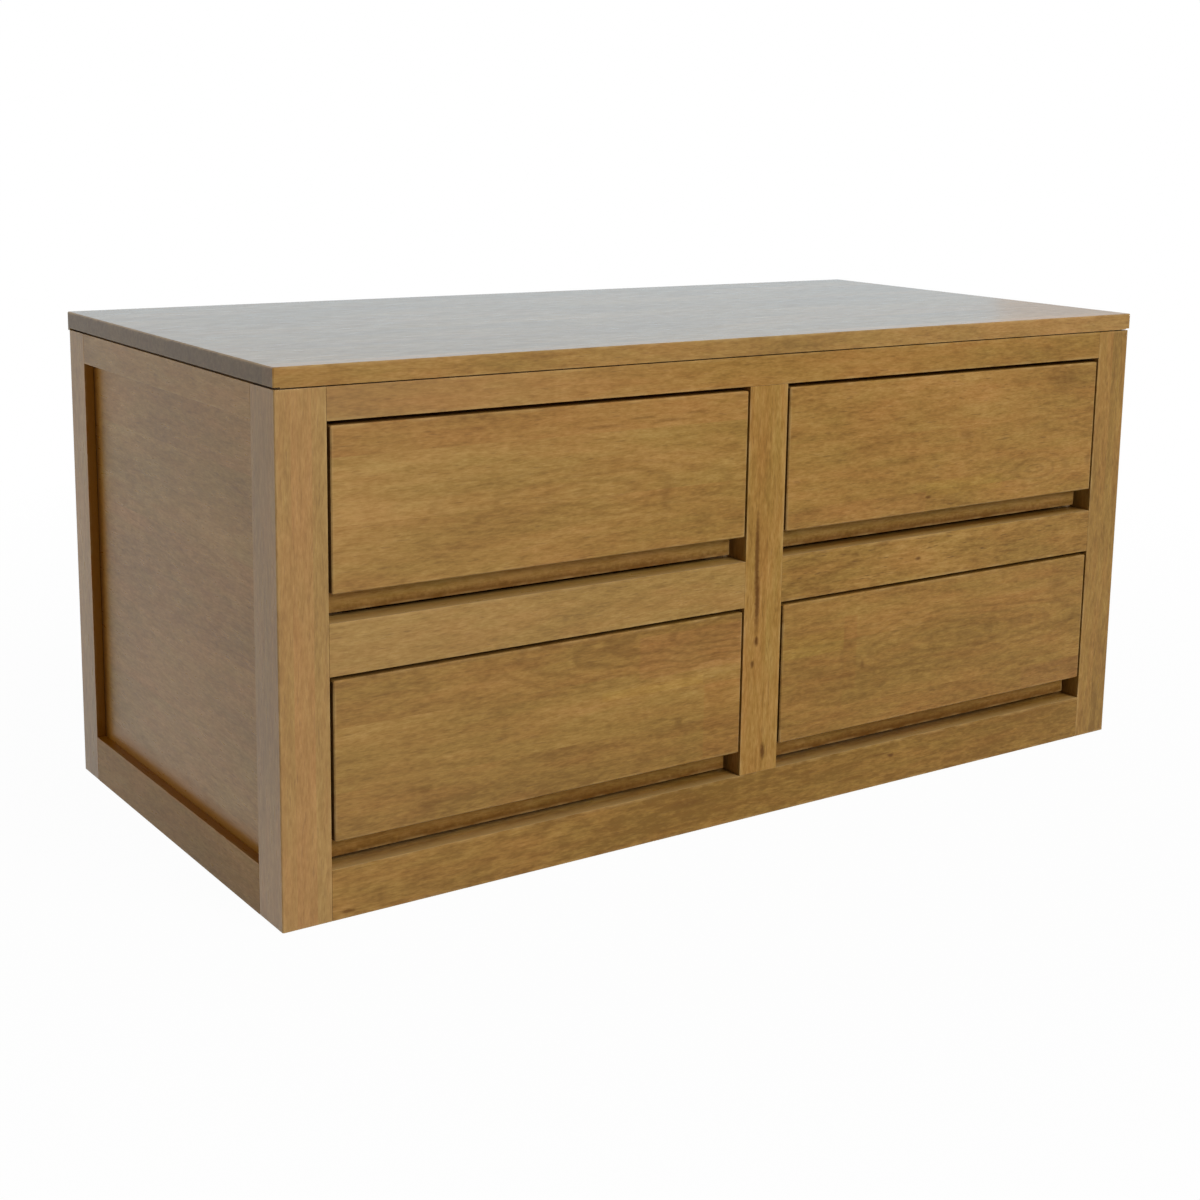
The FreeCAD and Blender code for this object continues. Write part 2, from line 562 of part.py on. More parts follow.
def add_tails(body, kind, start_x):
    """Add the row of dovetails to a drawer side, or cut its sockets in the box front."""
    tail = body.newObject(f"PartDesign::{kind}Wedge", "Tail")
    for edge, distance in (
            ("Xmin", "0"),
            ("Xmax", "Sizes.box_side_thickness"),
            ("X2min", "0"),
            ("X2max", "Sizes.box_side_thickness"),
            ("Ymin", "0"),
            ("Ymax", "Places.tail_length"),
            ("Zmin", "-Sizes.tail_width / 2 - Sizes.tail_flare"),
            ("Zmax", "Sizes.tail_width / 2 + Sizes.tail_flare"),
            ("Z2min", "-Sizes.tail_width / 2"),
            ("Z2max", "Sizes.tail_width / 2")):
        tail.setExpression(edge, distance)
    place(tail, (start_x, "Places.tail_tip", "Places.first_tail_z"))
    add_pattern(body, [tail], ("Z_Axis", "(Sizes.tail_count - 1) * Places.tail_pitch", "Sizes.tail_count"))


def make_drawer_side(label, hand):
    """A drawer side: tails in front, a groove for the bottom and a housing for the back on its inner face."""
    start_x = {"left": "Sizes.box_side_gap", "right": "Places.right_side_x"}[hand]
    side = make_board(
        label,
        (start_x, "Places.box_shoulder", "Sizes.running_gap"),
        ("Sizes.box_side_thickness",
         "Places.box_rear - Places.box_shoulder",
         "Places.box_top - Sizes.running_gap"))
    add_tails(side, "Additive", start_x)
    for name, depth, start_y, length, start_z, height in (
            ("Groove", "Sizes.bottom_groove_depth", "Places.tail_tip", "Places.box_rear - Places.tail_tip",
             "Places.bottom_z", "Sizes.bottom_thickness"),
            ("Housing", "Sizes.housing_depth", "Places.box_back_y", "Sizes.box_back_thickness",
             "Places.bottom_top", "Places.box_top - Places.bottom_top")):
        cut_x = {"left": f"Places.inner_x - {depth}", "right": start_x}[hand]
        add_block(side, "Subtractive", name, (cut_x, start_y, start_z), (depth, length, height))
    return side


def make_drawer(name, corner):
    """All pieces of one drawer, in a frame whose origin is the opening's lower left corner at the front."""
    screw_start = ("Places.front_screw_x", "Places.box_shoulder", "Places.front_screw_z")
    left_to_right = ("X_Axis", "Places.front_screw_width", "2")

    # Show front: its edges broken all round, with blind holes for its screws
    front = make_board(
        f"{name}_drawer_front",
        ("Sizes.front_left_gap", "0", "Sizes.finger_gap"),
        ("Places.opening_width - Sizes.front_left_gap - Sizes.front_right_gap",
         "Sizes.front_thickness",
         "Places.front_height"))
    break_edges(front)
    hole_depth = "Places.front_screw_length + Sizes.screw_hole_allowance"
    blind_hole = add_shank(front, "Subtractive", screw_start, level, hole_depth)
    add_pattern(front, [blind_hole], left_to_right)

    # Box front: sockets for the tails at both ends, a groove for the bottom, countersunk screw holes
    box_front = make_board(
        f"{name}_box_front",
        ("Sizes.box_side_gap", "Sizes.front_thickness", "Sizes.box_front_lift"),
        ("Places.box_width", "Sizes.box_front_thickness", "Places.box_top - Sizes.box_front_lift"))
    add_tails(box_front, "Subtractive", "Sizes.box_side_gap")
    add_tails(box_front, "Subtractive", "Places.right_side_x")
    add_block(
        box_front, "Subtractive", "Groove",
        ("Places.inner_x - Sizes.bottom_groove_depth",
         "Places.box_shoulder - Sizes.bottom_groove_depth",
         "Places.bottom_z"),
        ("Places.inner_width + 2 * Sizes.bottom_groove_depth",
         "Sizes.bottom_groove_depth",
         "Sizes.bottom_thickness"))
    seat = add_head(box_front, "Subtractive", screw_start, level)
    bore = add_shank(box_front, "Subtractive", screw_start, level, "Sizes.box_front_thickness")
    add_pattern(box_front, [seat, bore], left_to_right)

    # Box back: let into the sides, standing on the bottom
    box_back = make_board(
        f"{name}_box_back",
        ("Places.inner_x - Sizes.housing_depth", "Places.box_back_y", "Places.bottom_top"),
        ("Places.inner_width + 2 * Sizes.housing_depth",
         "Sizes.box_back_thickness",
         "Places.box_top - Places.bottom_top"))

    # Box bottom: slid in from the rear under the back, into the grooves of sides and box front
    bottom_inset = "Sizes.bottom_groove_depth - Sizes.bottom_play"
    box_bottom = make_board(
        f"{name}_box_bottom",
        (f"Places.inner_x - ({bottom_inset})", f"Places.box_shoulder - ({bottom_inset})", "Places.bottom_z"),
        (f"Places.inner_width + 2 * ({bottom_inset})",
         f"Places.box_rear - Sizes.box_back_inset - Places.box_shoulder + {bottom_inset}",
         "Sizes.bottom_thickness"))

    # Screws through the box front into the show front, as one group
    screws = make_body(f"{name}_front_screws")
    for screw_x in ("Places.front_screw_x", "Places.front_screw_x + Places.front_screw_width"):
        add_screw(screws, (screw_x,) + screw_start[1:], level, "Places.front_screw_length")

    sides = [make_drawer_side(f"{name}_box_{hand}_side", hand) for hand in ("left", "right")]
    drawer = [front, box_front, box_back, box_bottom, screws] + sides
    for piece in drawer:
        place(piece, corner)
    return drawer


# Four drawers, alike, one in each opening
drawer_pieces = []
for row, opening_z in (("lower", "Sizes.bottom_rail_height"), ("upper", "Places.upper_opening_z")):
    for column, opening_x in (("left", "-Places.post_inner"), ("right", "Places.stile_half")):
        drawer_pieces += make_drawer(f"{row}_{column}", (opening_x, "-Places.half_depth", opening_z))

doc.recompute()
for item in doc.Objects:
    if "Invalid" in item.State or "Error" in item.State:
        raise RuntimeError(f"{item.Label} failed: {item.State}")

pieces = left_pieces + right_pieces + middle_pieces + drawer_pieces
for piece in pieces:
    if piece.Shape.isNull() or not piece.Shape.isValid():
        raise RuntimeError(f"{piece.Label} has no valid shape")

os.makedirs("parts", exist_ok=True)
for piece in pieces:
    piece.Shape.exportStep(f"parts/{piece.Label}.step")
print(f"{len(pieces)} pieces written")
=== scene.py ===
import bpy
import math
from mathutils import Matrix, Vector


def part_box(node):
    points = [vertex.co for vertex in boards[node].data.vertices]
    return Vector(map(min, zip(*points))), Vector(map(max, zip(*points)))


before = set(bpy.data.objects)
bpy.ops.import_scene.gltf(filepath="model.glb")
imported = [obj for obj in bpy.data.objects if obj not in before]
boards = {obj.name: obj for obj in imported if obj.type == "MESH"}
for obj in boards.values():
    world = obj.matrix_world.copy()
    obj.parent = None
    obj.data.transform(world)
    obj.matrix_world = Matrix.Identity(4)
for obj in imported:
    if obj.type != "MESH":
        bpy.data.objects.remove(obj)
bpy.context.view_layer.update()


# Posts: four squared posts of hevea wood, each glued from two or three strips and in one length from the
# floor to the top board. The rails are tenoned into them. All show wood is stained honey brown and sprayed
# with satin lacquer, its edges eased.
def put(tree, kind, inputs, **settings):
    """Add one step to a finish and join its sockets to earlier steps, or set them."""
    step = tree.nodes.new(kind)
    for name, value in settings.items():
        setattr(step, name, value)
    for socket, value in inputs.items():
        if isinstance(value, bpy.types.NodeSocket):
            tree.links.new(value, step.inputs[socket])
        else:
            step.inputs[socket].default_value = value
    return step


def reckon(tree, way, *values):
    """Work out a number from others."""
    return put(tree, "ShaderNodeMath", dict(enumerate(values)), operation=way).outputs[0]


def measure(tree, way, *places):
    """Work out a place or a length from other places."""
    step = put(tree, "ShaderNodeVectorMath", dict(enumerate(places)), operation=way)
    return step.outputs["Value" if way == "LENGTH" else "Vector"]


def split(tree, place):
    """The x, the y and the z of a place."""
    return put(tree, "ShaderNodeSeparateXYZ", {0: place}).outputs


def mottle(tree, place, scale, detail):
    """Soft blots, so many to the metre."""
    return put(tree, "ShaderNodeTexNoise", {"Vector": place, "Scale": scale, "Detail": detail}).outputs[0]


def streaks(tree, place, grain, along, across, detail):
    """Streaks in the wood: blots drawn out along the grain, so many to the metre along it and across it."""
    scale = [across] * 3
    scale["XYZ".index(grain)] = along
    return mottle(tree, measure(tree, "MULTIPLY", place, scale), 1.0, detail)


def spread(tree, value, low, high, start=0.0, end=1.0):
    """Stretch the part of a value between low and high over another range."""
    stretched = put(tree, "ShaderNodeMapRange", {0: value, 1: low, 2: high, 3: start, 4: end}, clamp=True)
    return stretched.outputs[0]


def weigh(tree, middle, *shares):
    """Add up several values that lie about one half, each with its weight, round a middle value."""
    total = middle - sum(weight for value, weight in shares) / 2
    for value, weight in shares:
        total = reckon(tree, "MULTIPLY_ADD", value, weight, total)
    return total


def blend(tree, share, under, over, way="MIX"):
    """Lay one colour over another."""
    laid = put(tree, "ShaderNodeMix", {0: share, 6: under, 7: over}, data_type="RGBA", blend_type=way)
    return laid.outputs[2]


def tones(tree, value, *stops):
    """Turn a value into colours, from the first stop to the last."""
    ramp = put(tree, "ShaderNodeValToRGB", {0: value})
    for element, (position, colour) in zip(ramp.color_ramp.elements, (stops[0], stops[-1])):
        element.position = position
        element.color = (*colour, 1)
    for position, colour in stops[1:-1]:
        ramp.color_ramp.elements.new(position).color = (*colour, 1)
    return ramp.outputs[0]


def reach_from(tree, place, centre, size):
    """How far a place is from a centre, in shares of a size that differs along each axis."""
    offset = measure(tree, "SUBTRACT", place, centre)
    return measure(tree, "LENGTH", measure(tree, "DIVIDE", offset, size))


def mark(tree, colour, place, centre, size, depth, stain=(0.095, 0.032, 0.004)):
    """A soft and uneven dark mark, for marks the tree left in the wood and for painted shade in corners."""
    blots = mottle(tree, place, 260.0, 2.0)
    ragged = reckon(tree, "MULTIPLY_ADD", blots, 0.6, reach_from(tree, place, centre, size))
    return blend(tree, spread(tree, ragged, 0.65, 1.3, depth, 0.0), colour, (*stain, 1))


def arches(tree, colour, place, centre, size, rings, depth):
    """Growth rings cut lengthwise: nested arches of thin dark lines that fade away from their middle."""
    late_wood = (0.130, 0.055, 0.010, 1)
    reach = reach_from(tree, place, centre, size)
    bent = reckon(tree, "MULTIPLY_ADD", mottle(tree, place, 22.0, 3.0), 0.5, reach)
    line = reckon(tree, "SINE", reckon(tree, "MULTIPLY", bent, 2 * math.pi * rings))
    fading = spread(tree, reach, 0.7, 1.3, 1.0, 0.0)
    share = reckon(tree, "MULTIPLY", spread(tree, line, 0.0, 1.0, 0.0, depth), fading)
    return blend(tree, share, colour, late_wood)


def short_strip(tree, colour, place, centre, half, tint):
    """A shorter strip glued in: it ends at butt joints, and its wood has a tone of its own."""
    joint = 0.0008
    reach = measure(tree, "ABSOLUTE", measure(tree, "SUBTRACT", place, centre))
    past = split(tree, measure(tree, "SUBTRACT", reach, half))
    outside = reckon(tree, "MAXIMUM", past["X"], past["Z"])
    return blend(tree, spread(tree, outside, -joint, joint, 1.0, 0.0), colour, (*tint, 1), "MULTIPLY")


def glued_up(tree, spot, log, name, axis, strips):
    """The strips of a board: how light and how red each is, and where in the log it was cut."""
    number = "XYZ".index(axis)
    low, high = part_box(name)
    across = spread(tree, split(tree, spot)[number], low[number], high[number])
    ramp = put(tree, "ShaderNodeValToRGB", {0: across})
    ramp.color_ramp.interpolation = "CONSTANT"
    stops = ramp.color_ramp.elements
    edge = 0.0
    for count, (share, light, red) in enumerate(strips):
        shift = (count * 0.37 + 0.11) % 1.0
        stop = stops[0] if count == 0 else stops.new(edge)
        stop.position = edge
        stop.color = (light, red, shift, 1)
        edge += share
    stops.remove(stops[-1])
    lightness, redness, shifted = put(tree, "ShaderNodeSeparateColor", {0: ramp.outputs[0]}).outputs
    farthest = (3.7, 5.1, 2.9)
    return lightness, redness, measure(tree, "MULTIPLY_ADD", farthest, shifted, log)


def rubbed(tree, place, name):
    """How far the finish is rubbed off: along the board's own edges, and only here and there."""
    low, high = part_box(name)
    reach = measure(tree, "ABSOLUTE", measure(tree, "SUBTRACT", place, (low + high) / 2))
    x, y, z = split(tree, measure(tree, "SUBTRACT", (high - low) / 2, reach))
    # Near an edge two of the three distances to the faces are small, so the middle one is the distance.
    nearer = reckon(tree, "MINIMUM", x, y)
    farther = reckon(tree, "MAXIMUM", x, y)
    from_edge = reckon(tree, "MAXIMUM", nearer, reckon(tree, "MINIMUM", farther, z))
    worn = spread(tree, from_edge, 0.0005, 0.0030, 0.45, 0.0)
    patchy = spread(tree, mottle(tree, place, 45.0, 3.0), 0.4, 0.65)
    return reckon(tree, "MULTIPLY", worn, patchy)


def painted_ledge_light(tree, place, upward, name, most):
    """How much light is painted on the front of a rail's upper face, fading to painted shade further in."""
    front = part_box(name)[0].y
    near = spread(tree, split(tree, place)["Y"], front + 0.001, front + 0.013, most, 0.0)
    return reckon(tree, "MULTIPLY", near, spread(tree, upward, 0.7, 0.95))


def stained_hevea(
        name, grain, cut, figure=1.0, staves=None, marks=(), gloss=0.15, shine=1.30, ledge_light=0.0, lit_from_left=0.0,
        coarse=1.0, pores=0.35, flames=(), shorts=()):
    """Hevea wood under stain and lacquer. The cut shifts the pattern, so that no two boards are alike.

    Staves are the strips that a board is glued from: the axis along which they follow each other, and for
    each strip its share of the width, how light it is and how red it is. Marks are given by their middle,
    size, depth and, where it isn't the usual one, colour: some are marks in the wood, some painted shade.
    Flames of growth rings are given by their middle, size, number and depth, and short strips by their
    middle, half their size and their tint. The ledge value is how much light is painted on the front of
    the upper face, fading into painted shade further back, and the faded value is how much lighter the
    left end is painted: a painted highlight for the stronger light at the left of the chest.
    """
    finish = bpy.data.materials.new(name)
    finish.use_nodes = True
    tree = finish.node_tree
    lacquer = tree.nodes["Principled BSDF"]
    spot = put(tree, "ShaderNodeTexCoord", {}).outputs["Object"]
    lengthwise = "XYZ".index(grain)
    tilt = [0.0, 0.0, 0.0]
    tilt[lengthwise - 1] = math.radians(1.5 * math.sin(5 * cut))
    place_in_log = (1.7 * cut, 2.3 * cut, 3.1 * cut)
    log = put(tree, "ShaderNodeMapping", {"Vector": spot, 1: place_in_log, 2: tilt}).outputs[0]
    lights = []
    reds = []
    if staves:
        strip_light, strip_red, log = glued_up(tree, spot, log, name, *staves)
        lights.append((strip_light, 0.55))
        reds.append((strip_red, 1.1))

    # the wood itself, from fine lines to broad clouds
    fibre = streaks(tree, log, grain, 45, 270, 4.0)
    hair = streaks(tree, log, grain, 160, 850, 2.0)
    fleck = streaks(tree, log, grain, 110, 190, 3.0)
    flush = streaks(tree, log, grain, 14, 80, 4.0)
    cloud = streaks(tree, log, grain, 5, 16, 2.0)
    heart = streaks(tree, log, grain, 1.3, 11, 1.0)
    ring = reckon(tree, "SINE", reckon(tree, "MULTIPLY", heart, 70.0))
    pore = spread(tree, streaks(tree, log, grain, 60, 620, 1.0), 0.65, 0.76)

    # the stain that it has taken up
    lights += [(fibre, 0.68 * coarse), (hair, 0.60), (cloud, 0.58 * coarse), (fleck, 0.30 * coarse)]
    light = reckon(tree, "MULTIPLY_ADD", ring, 0.035 * figure, weigh(tree, 0.5, *lights))
    dark_brown = (0.190, 0.097, 0.018)
    honey_brown = (0.300, 0.170, 0.037)
    pale_honey = (0.410, 0.250, 0.070)
    colour = tones(tree, light, (0.15, dark_brown), (0.5, honey_brown), (0.85, pale_honey))
    reddish = (1.07, 0.90, 0.95, 1)
    red = weigh(tree, 0.4, (cloud, 0.9), (flush, 1.7), *reds)
    colour = blend(tree, red, colour, reddish, "MULTIPLY")
    filled_pore = (0.115, 0.052, 0.014, 1)
    colour = blend(tree, reckon(tree, "MULTIPLY", pore, pores), colour, filled_pore)
    # painted light: the left end of the chest is painted lighter, for the stronger light that falls there
    if lit_from_left:
        painted_light_wood = (0.450, 0.290, 0.175, 1)
        to_the_left = spread(tree, split(tree, spot)["X"], -0.5, -0.05, lit_from_left, 0.0)
        colour = blend(tree, to_the_left, colour, painted_light_wood)
    for short in shorts:
        colour = short_strip(tree, colour, spot, *short)
    for rings in flames:
        colour = arches(tree, colour, spot, *rings)
    for dark_mark in marks:
        colour = mark(tree, colour, spot, *dark_mark)

    # end grain, which drinks more stain, and wear along the edges, with light painted on the front of
    # ledges
    facing = split(tree, put(tree, "ShaderNodeNewGeometry", {}).outputs["True Normal"])
    soaked = spread(tree, reckon(tree, "ABSOLUTE", facing[lengthwise]), 0.75, 0.95)
    end_grain = (0.42, 0.44, 0.55, 1)
    colour = blend(tree, soaked, colour, end_grain, "MULTIPLY")
    wear_and_ledge_light = rubbed(tree, spot, name)
    # painted light on the front of a rail's upper face, in front of the drawer, fading into painted shade
    if ledge_light:
        wear_and_ledge_light = reckon(tree, "MAXIMUM", wear_and_ledge_light, painted_ledge_light(tree, spot, facing["Z"], name, ledge_light))
    rubbed_and_lit_wood = (0.480, 0.310, 0.120, 1)
    tree.links.new(blend(tree, wear_and_ledge_light, colour, rubbed_and_lit_wood), lacquer.inputs["Base Color"])

    # the lacquer, through which the grain can still be felt
    satin = spread(tree, fibre, 0.25, 0.75, 0.34, 0.26)
    tree.links.new(reckon(tree, "MULTIPLY_ADD", soaked, 0.12, satin), lacquer.inputs["Roughness"])
    height = weigh(tree, 0.5, (fibre, 0.6), (hair, 0.3), (pore, -0.6))
    relief = put(tree, "ShaderNodeBump", {"Strength": 0.12, "Distance": 0.0004, "Height": height})
    tree.links.new(relief.outputs[0], lacquer.inputs["Normal"])
    lacquer.inputs["IOR"].default_value = shine
    lacquer.inputs["Coat Weight"].default_value = gloss
    lacquer.inputs["Coat Roughness"].default_value = 0.16
    lacquer.inputs["Coat IOR"].default_value = 1.35
    return finish


def dress(name, finish):
    """Give a board its finish, and take the sharpness off its edges."""
    board = boards[name]
    board.data.materials.clear()
    board.data.materials.append(finish)
    weld = board.modifiers.new("closed corners", "WELD")
    weld.merge_threshold = 0.00001
    plane = board.modifiers.new("eased edges", "BEVEL")
    plane.width = 0.0004
    plane.segments = 2
    plane.limit_method = "ANGLE"
    plane.angle_limit = math.radians(30)
    board.modifiers.new("even faces", "WEIGHTED_NORMAL").keep_sharp = False


def painted_corner_shade(hand, outward, reach, depth):
    """Painted shade and warm glow in two corners round a side panel: behind, upright, and below, level."""
    painted_bounce_glow = (0.34, 0.135, 0.008)
    whole_length = 0.6
    low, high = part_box(f"{hand}_side_panel")
    panel_face = low.x if hand == "left" else high.x
    post_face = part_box(f"rear_{hand}_post")[0].y
    rail_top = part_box(f"{hand}_side_bottom_rail")[1].z
    return (
        ((panel_face, post_face, 0.24), (outward, reach, whole_length), depth, painted_bounce_glow),
        ((panel_face, 0.0, rail_top), (outward, whole_length, reach), depth, painted_bounce_glow))


posts = {
    "front_left_post": {
        "staves": ("X", ((0.3, 0.58, 0.5), (0.4, 0.64, 0.8), (0.3, 0.60, 0.3))), "lit_from_left": 0.17},
    "front_right_post": {
        "staves": ("X", ((0.5, 0.30, 0.4), (0.5, 0.26, 0.3))), "shine": 1.24},
    # The rear posts get painted shade, warmed by a painted glow, in the corner where they meet the side
    # panel.
    "rear_left_post": {
        "staves": ("X", ((0.6, 0.5, 0.5), (0.4, 0.45, 0.6))),
        "marks": painted_corner_shade("left", 0.05, 0.002, 1.0)[:1]},
    "rear_right_post": {
        "staves": ("X", ((0.4, 0.52, 0.4), (0.6, 0.46, 0.6))),
        "marks": painted_corner_shade("right", 0.05, 0.002, 0.3)[:1]},
}
for cut, (name, look) in enumerate(posts.items(), 1):
    dress(name, stained_hevea(name, "Z", cut, 0.6, **look))

# Front frame: top, mid and bottom rails with their grain level, and an upright stile between the drawers.
# They are planed flush with the posts and glued up with mortise and tenon joints.
front_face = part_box("front_bottom_rail")[0].y


def knot(x, z, wide, high, depth):
    """A mark in the front of the chest: its middle, half its width and height, and how dark it is."""
    inward = 0.02
    return (x, front_face, z), (wide, inward, high), depth


front_frame = {
    "front_top_rail": {
        "grain": "X", "figure": 0.5, "staves": ("Z", ((1.0, 0.45, 0.55),)),
        "gloss": 0.0, "shine": 1.22, "lit_from_left": 0.22},
    "front_bottom_rail": {
        "grain": "X", "figure": 1.0, "staves": ("Z", ((1.0, 0.16, 0.35),)),
        "gloss": 0.0, "shine": 1.22, "lit_from_left": 0.08, "ledge_light": 0.7, "coarse": 1.25,
        "marks": (
            knot(0.1750, 0.0298, 0.0055, 0.0030, 0.8), knot(-0.4397, 0.0060, 0.0090, 0.0022, 0.7),
            knot(-0.0827, 0.0304, 0.0250, 0.0060, 0.35), knot(0.1610, 0.0330, 0.0160, 0.0012, 0.5),
            # painted shade at the back of the rail's upper face, in the recess under the drawer
            ((0.2380, front_face + 0.020, 0.0450), (0.3, 0.011, 0.004), 0.45))},
    "left_mid_rail": {
        "grain": "X", "figure": 0.8, "staves": ("Z", ((1.0, 0.50, 0.2),)), "lit_from_left": 0.12, "ledge_light": 0.8},
    "right_mid_rail": {
        "grain": "X", "figure": 1.6, "staves": ("Z", ((1.0, 0.30, 0.35),)),
        "gloss": 0.0, "shine": 1.24, "ledge_light": 0.7, "coarse": 1.3, "pores": 0.75,
        "marks": (
            knot(0.2011, 0.2336, 0.0050, 0.0022, 0.8),
            # painted shade at the back of the rail's upper face, in the recess under the drawer
            ((0.2380, front_face + 0.019, 0.2570), (0.6, 0.009, 0.004), 0.65))},
    "centre_stile": {
        "grain": "Z", "figure": 0.6, "staves": ("X", ((0.6, 0.55, 0.6), (0.4, 0.51, 0.3))),
        "gloss": 0.0, "shine": 1.19,
        "marks": (
            knot(-0.0090, 0.262, 0.0034, 0.055, 0.8), knot(-0.0072, 0.216, 0.0036, 0.040, 0.85),
            knot(-0.0070, 0.177, 0.0034, 0.006, 0.9), knot(-0.0110, 0.155, 0.0028, 0.005, 0.8),
            knot(0.0049, 0.065, 0.0036, 0.011, 0.85))},
}
for cut, (name, look) in enumerate(front_frame.items(), 11):
    dress(name, stained_hevea(name, cut=cut, **look))

# Side frames: a rail above and one below between the posts, with a thin flat panel of glued strips that
# floats in grooves, set back from the face of the frame.
# Painted shade with a warm painted glow in the corners round each side panel: strong on the shaded left.
for cut, (hand, corner_shade_depth) in enumerate((("left", 1.0), ("right", 0.3))):
    name = f"{hand}_side_top_rail"
    dress(name, stained_hevea(name, "Y", 21 + cut, 0.6, gloss=0.0))
    name = f"{hand}_side_bottom_rail"
    shaded_upper_face = painted_corner_shade(hand, 0.05, 0.002, corner_shade_depth)[1:]
    dress(name, stained_hevea(name, "Y", 23 + cut, 0.8, marks=shaded_upper_face, gloss=0.0, shine=1.15))
    name = f"{hand}_side_panel"
    strips = ((0.22, 0.46, 0.4), (0.2, 0.5, 0.6), (0.23, 0.47, 0.7), (0.2, 0.52, 0.4), (0.15, 0.46, 0.6))
    upright, level = painted_corner_shade(hand, 0.010, 0.022, 0.75 * corner_shade_depth)
    corner = upright[0]
    # a painted dark line of shade in the corner behind the panel
    shaded_corner_line = (corner, (0.010, 0.016, 0.6), 0.85 * corner_shade_depth)
    corner_shades = (upright, level, shaded_corner_line)
    dress(name, stained_hevea(name, "Y", 25 + cut, 1.0, ("Z", strips), corner_shades, gloss=0.0))

# Back frame: rails and a stile as at the front, stained like the rest, round two thin panels of veneered
# plywood in grooves.
for cut, name in enumerate(("back_top_rail", "back_bottom_rail"), 31):
    dress(name, stained_hevea(name, "X", cut, 0.7))
dress("back_stile", stained_hevea("back_stile", "Z", 33, 0.6))


def bare_wood(name, grain, cut, shades, dull=0.62):
    """Hevea wood or plywood without stain, sanded and left matt: pale, with darker streaks and pores."""
    finish = bpy.data.materials.new(name)
    finish.use_nodes = True
    tree = finish.node_tree
    skin = tree.nodes["Principled BSDF"]
    spot = put(tree, "ShaderNodeTexCoord", {}).outputs["Object"]
    place_in_log = (1.7 * cut, 2.3 * cut, 3.1 * cut)
    log = put(tree, "ShaderNodeMapping", {"Vector": spot, 1: place_in_log}).outputs[0]
    fibre = streaks(tree, log, grain, 18, 220, 4.0)
    cloud = streaks(tree, log, grain, 3, 14, 2.0)
    pore = spread(tree, streaks(tree, log, grain, 55, 600, 1.0), 0.63, 0.72)
    light = weigh(tree, 0.5, (fibre, 0.7), (cloud, 0.6), (pore, -0.25))
    tree.links.new(tones(tree, light, *shades), skin.inputs["Base Color"])
    tree.links.new(spread(tree, fibre, 0.25, 0.75, dull + 0.06, dull - 0.06), skin.inputs["Roughness"])
    relief = put(tree, "ShaderNodeBump", {"Strength": 0.15, "Distance": 0.0003, "Height": light})
    tree.links.new(relief.outputs[0], skin.inputs["Normal"])
    return finish


veneer = ((0.15, (0.230, 0.115, 0.036)), (0.85, (0.420, 0.235, 0.085)))
for cut, name in enumerate(("left_back_panel", "right_back_panel"), 35):
    dress(name, bare_wood(name, "X", cut, veneer, 0.5))

# Runners and kickers: pale hevea strips glued in between the front and back rails, the outer ones notched
# round the posts. The drawer sides slide in the rebates of the runners, and the kickers keep the upper
# drawers from tipping down when they are pulled out.
sanded = ((0.15, (0.360, 0.225, 0.110)), (0.85, (0.640, 0.465, 0.280)))
runner_wood = bare_wood("runner_wood", "Y", 41, sanded)
for row in ("lower_runner", "upper_runner", "kicker"):
    for place in ("left", "centre", "right"):
        dress(f"{place}_{row}", runner_wood)

# Top board: one board glued up from long strips, stained and lacquered, with eased edges. It lies almost
# flush with the frame and is screwed on from below, through the outer kickers.
# Most strips of the top board are painted far darker than other boards: painted shade against the light
# from above.
strips = (
    (0.04, 0.50, 0.5), (0.06, 0.12, 0.1), (0.11, 0.10, 0.1), (0.1, 0.06, 0.2), (0.12, 0.08, 0.1),
    (0.1, 0.12, 0.15), (0.12, 0.06, 0.2), (0.11, 0.09, 0.1), (0.12, 0.08, 0.25), (0.12, 0.10, 0.1))
dress("top_panel", stained_hevea("top_panel", "X", 51, 0.9, ("Y", strips), gloss=0.2))

# Drawer boxes: pale sides, joined by lapped dovetails to a stained front board and with a back housed in
# them. The lower edge of the front board shows as the strip behind the finger gap. The bottoms are thin
# plywood in grooves.
drawers = ("lower_left", "lower_right", "upper_left", "upper_right")
plywood = ((0.15, (0.420, 0.275, 0.145)), (0.85, (0.640, 0.470, 0.290)))
for cut, drawer in enumerate(drawers):
    name = f"{drawer}_box_front"
    # The strips of the lower drawers are painted darker than the upper ones: painted shade for the lower
    # row.
    light = 0.46 if "lower" in drawer else 0.92
    low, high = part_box(name)
    # painted shade along the foot of the strip, beside the finger gap
    shaded_lower_edge = (((low.x + high.x) / 2, low.y, low.z), (0.5, 0.03, 0.009), 0.75)
    strip_wood = stained_hevea(
        name, "X", 61 + cut, 0.6, ("Z", ((1.0, light, 0.5),)), (shaded_lower_edge,), gloss=0.0, shine=1.12)
    dress(name, strip_wood)
    side_wood = bare_wood(f"{drawer}_side_wood", "Y", 65 + cut, sanded)
    dress(f"{drawer}_box_left_side", side_wood)
    dress(f"{drawer}_box_right_side", side_wood)
    dress(f"{drawer}_box_back", bare_wood(f"{drawer}_back_wood", "X", 69 + cut, sanded))
    dress(f"{drawer}_box_bottom", bare_wood(f"{drawer}_bottom_wood", "X", 73 + cut, plywood))


# Drawer fronts: thick boards glued up from three long strips and, in most, a few short ones, the grain
# level, with eased edges and no handle. Each is screwed to its box from inside and stops short of the rail,
# for the fingers.
def flame(x, z, wide, high, rings, depth):
    """Growth rings in a drawer front: their middle, their reach, their number and how dark they are."""
    inward = 1.0
    return (x, front_face, z), (wide, inward, high), rings, depth


def butted(x, z, long, high, tint):
    """A short strip in a drawer front: its middle, half its length and height, and its tint."""
    inward = 1.0
    return (x, front_face, z), (long, inward, high), tint


